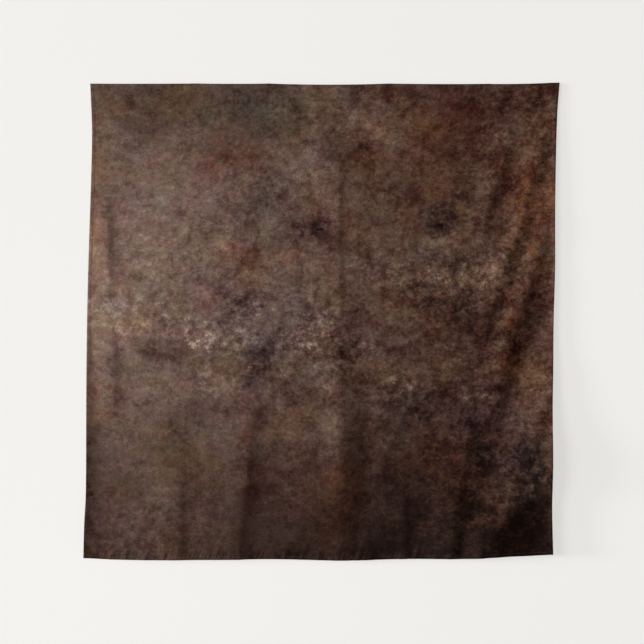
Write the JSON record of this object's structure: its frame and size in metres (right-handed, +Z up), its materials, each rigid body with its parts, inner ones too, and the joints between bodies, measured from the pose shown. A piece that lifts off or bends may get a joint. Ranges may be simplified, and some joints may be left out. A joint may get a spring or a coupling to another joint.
{
  "type": "hanging fabric backdrop",
  "caption": "Square printed cloth backdrop with narrow sewn hems, hung flat on a wall by hook-and-loop tabs behind its top edge.",
  "frame": {"origin": "on the wall plane, behind the middle of the cloth's top edge", "axes": "+X to the right seen from the front, +Y into the wall, +Z up; the cloth hangs below the origin"},
  "size_m": [1.3185, 0.0453, 1.3237],
  "materials": {
    "printed_cloth": "matt woven polyester, mottled brown print",
    "hem_cloth": "the same cloth turned over, its back paler",
    "thread": "dark brown sewing thread",
    "hook_tape": "white nylon hook tape",
    "loop_tape": "white nylon loop tape",
    "adhesive_foam": "white adhesive foam"
  },
  "bodies": {
    "wall_side": {"adhesive_pad_1": "adhesive_foam", "adhesive_pad_2": "adhesive_foam", "adhesive_pad_3": "adhesive_foam", "adhesive_pad_4": "adhesive_foam", "adhesive_pad_5": "adhesive_foam", "adhesive_pad_6": "adhesive_foam", "hook_strip_1": "hook_tape", "hook_strip_2": "hook_tape", "hook_strip_3": "hook_tape", "hook_strip_4": "hook_tape", "hook_strip_5": "hook_tape", "hook_strip_6": "hook_tape"},
    "header": {"cloth_header": "printed_cloth", "top_hem": "hem_cloth", "top_left_corner": "hem_cloth", "top_right_corner": "hem_cloth", "top_stitching": "thread", "loop_strip_1": "loop_tape", "loop_strip_2": "loop_tape", "loop_strip_3": "loop_tape", "loop_strip_4": "loop_tape", "loop_strip_5": "loop_tape", "loop_strip_6": "loop_tape"},
    "upper": {"cloth_upper": "printed_cloth", "left_hem_upper": "hem_cloth", "right_hem_upper": "hem_cloth", "left_stitching_upper": "thread", "right_stitching_upper": "thread"},
    "lower": {"cloth_lower": "printed_cloth", "left_hem_lower": "hem_cloth", "right_hem_lower": "hem_cloth", "bottom_hem": "hem_cloth", "bottom_left_corner": "hem_cloth", "bottom_right_corner": "hem_cloth", "left_stitching_lower": "thread", "right_stitching_lower": "thread", "bottom_stitching": "thread"}
  },
  "joints": [
    {"name": "pull_off", "type": "slide", "parent": "wall_side", "child": "header", "axis": [0, -1, 0], "range_m": [0, 0.08]},
    {"name": "lift_away", "type": "hinge", "parent": "header", "child": "upper", "pos_m": [0, -0.0058, -0.032], "axis": [-1, 0, 0], "range_deg": [0, 80]},
    {"name": "fold_up", "type": "hinge", "parent": "upper", "child": "lower", "pos_m": [0, -0.02, -0.66], "axis": [-1, 0, 0], "range_deg": [0, 170]}
  ]
}
